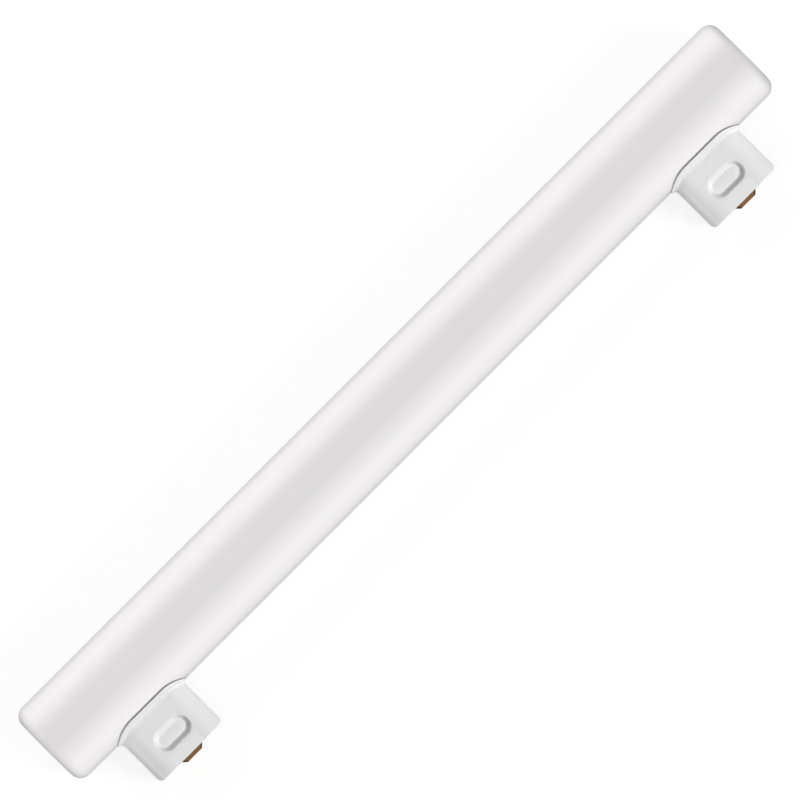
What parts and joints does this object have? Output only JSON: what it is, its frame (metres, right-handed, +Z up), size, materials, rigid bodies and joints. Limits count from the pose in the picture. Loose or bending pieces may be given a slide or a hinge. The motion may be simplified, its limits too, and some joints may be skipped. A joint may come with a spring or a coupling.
{
  "type": "tubular light bulb",
  "caption": "Straight opal tube lamp with rounded closed ends and a plug-in side cap near each end, each cap with a spring recess in its flanks and a flat metal contact at its foot.",
  "frame": {"origin": "on the table, under the middle of the lying lamp's outline", "axes": "+X along the tube, -Y the way the caps point, which dip to the table, +Z up"},
  "size_m": [0.3, 0.047, 0.029],
  "materials": {
    "opal_plastic": "satin opal",
    "cap_plastic": "fine moulded satin",
    "contact_brass": "dull pressed brass"
  },
  "bodies": {
    "root": {"tube": "opal_plastic", "left_cap": "cap_plastic", "right_cap": "cap_plastic", "left_contact": "contact_brass", "right_contact": "contact_brass"}
  },
  "joints": []
}
